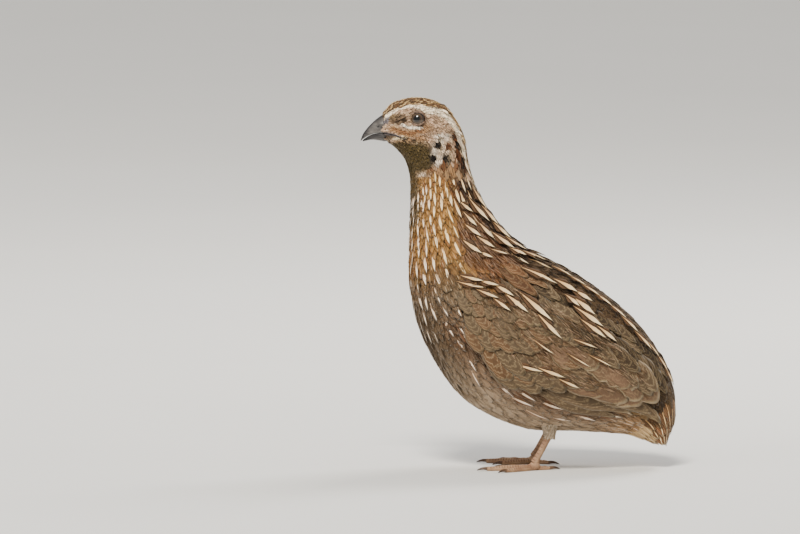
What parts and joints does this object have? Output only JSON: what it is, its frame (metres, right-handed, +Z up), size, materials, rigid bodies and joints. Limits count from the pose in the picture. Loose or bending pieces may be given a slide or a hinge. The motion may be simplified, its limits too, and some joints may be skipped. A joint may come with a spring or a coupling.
{
  "type": "coturnix quail, still life-size model",
  "caption": "Still, life-size model of a coturnix quail cock, standing alert with its neck stretched up, wings folded and tail hanging.",
  "frame": {"origin": "on the floor, at the middle of the model's footprint box, midway between the bill's tip and the back of the rump", "axes": "the bill points along -Y, the bird's left side is +X, and +Z is up"},
  "size_m": [0.06, 0.1224, 0.1429],
  "materials": {
    "plumage": "soft streaked body feathers, rufous and buff with cream shaft lines",
    "wing": "smooth overlapping wing feathers, barred brown with pale fringes",
    "tail": "short dark brown tail feathers with pale shafts",
    "bill": "satin slate-grey horn",
    "eye": "wet gloss, reddish-brown iris round a black pupil",
    "skin_of_leg": "dull pinkish-buff scales",
    "claw": "dull brown horn"
  },
  "bodies": {
    "root": {"head": "plumage", "bill_upper": "bill", "bill_lower": "bill", "neck": "plumage", "torso": "plumage", "tail": "tail", "eye_left": "eye", "eye_right": "eye", "wing_left": "wing", "wing_right": "wing", "drumstick_left": "plumage", "drumstick_right": "plumage", "shank_left": "skin_of_leg", "shank_right": "skin_of_leg", "foot_left": "skin_of_leg", "foot_right": "skin_of_leg", "claw_middle_left": "claw", "claw_middle_right": "claw", "claw_inner_left": "claw", "claw_inner_right": "claw", "claw_outer_left": "claw", "claw_outer_right": "claw", "claw_hind_left": "claw", "claw_hind_right": "claw"}
  },
  "joints": []
}
